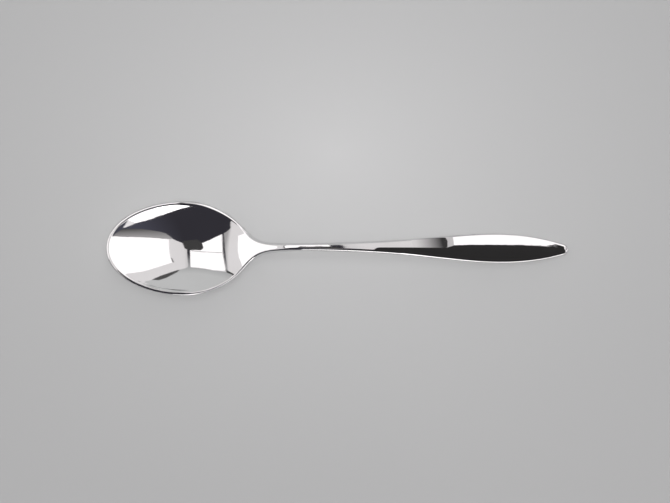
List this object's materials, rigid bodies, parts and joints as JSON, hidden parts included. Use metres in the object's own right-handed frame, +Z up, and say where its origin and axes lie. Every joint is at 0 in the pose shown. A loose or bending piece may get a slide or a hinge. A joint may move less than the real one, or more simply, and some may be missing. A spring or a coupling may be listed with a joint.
{
  "type": "teaspoon",
  "caption": "Polished stainless steel teaspoon with an egg-shaped bowl, a slim round neck and a domed leaf-shaped handle, resting hollow side up.",
  "frame": {"origin": "on the table under the middle of the spoon's length and width", "axes": "+X along the spoon towards the nose of the handle, +Y across it, +Z up out of the hollow"},
  "size_m": [0.14, 0.0286, 0.0131],
  "materials": {
    "polished_steel": "mirror-polished stainless steel with fine wiping scratches"
  },
  "bodies": {
    "root": {"spoon": "polished_steel"}
  },
  "joints": []
}
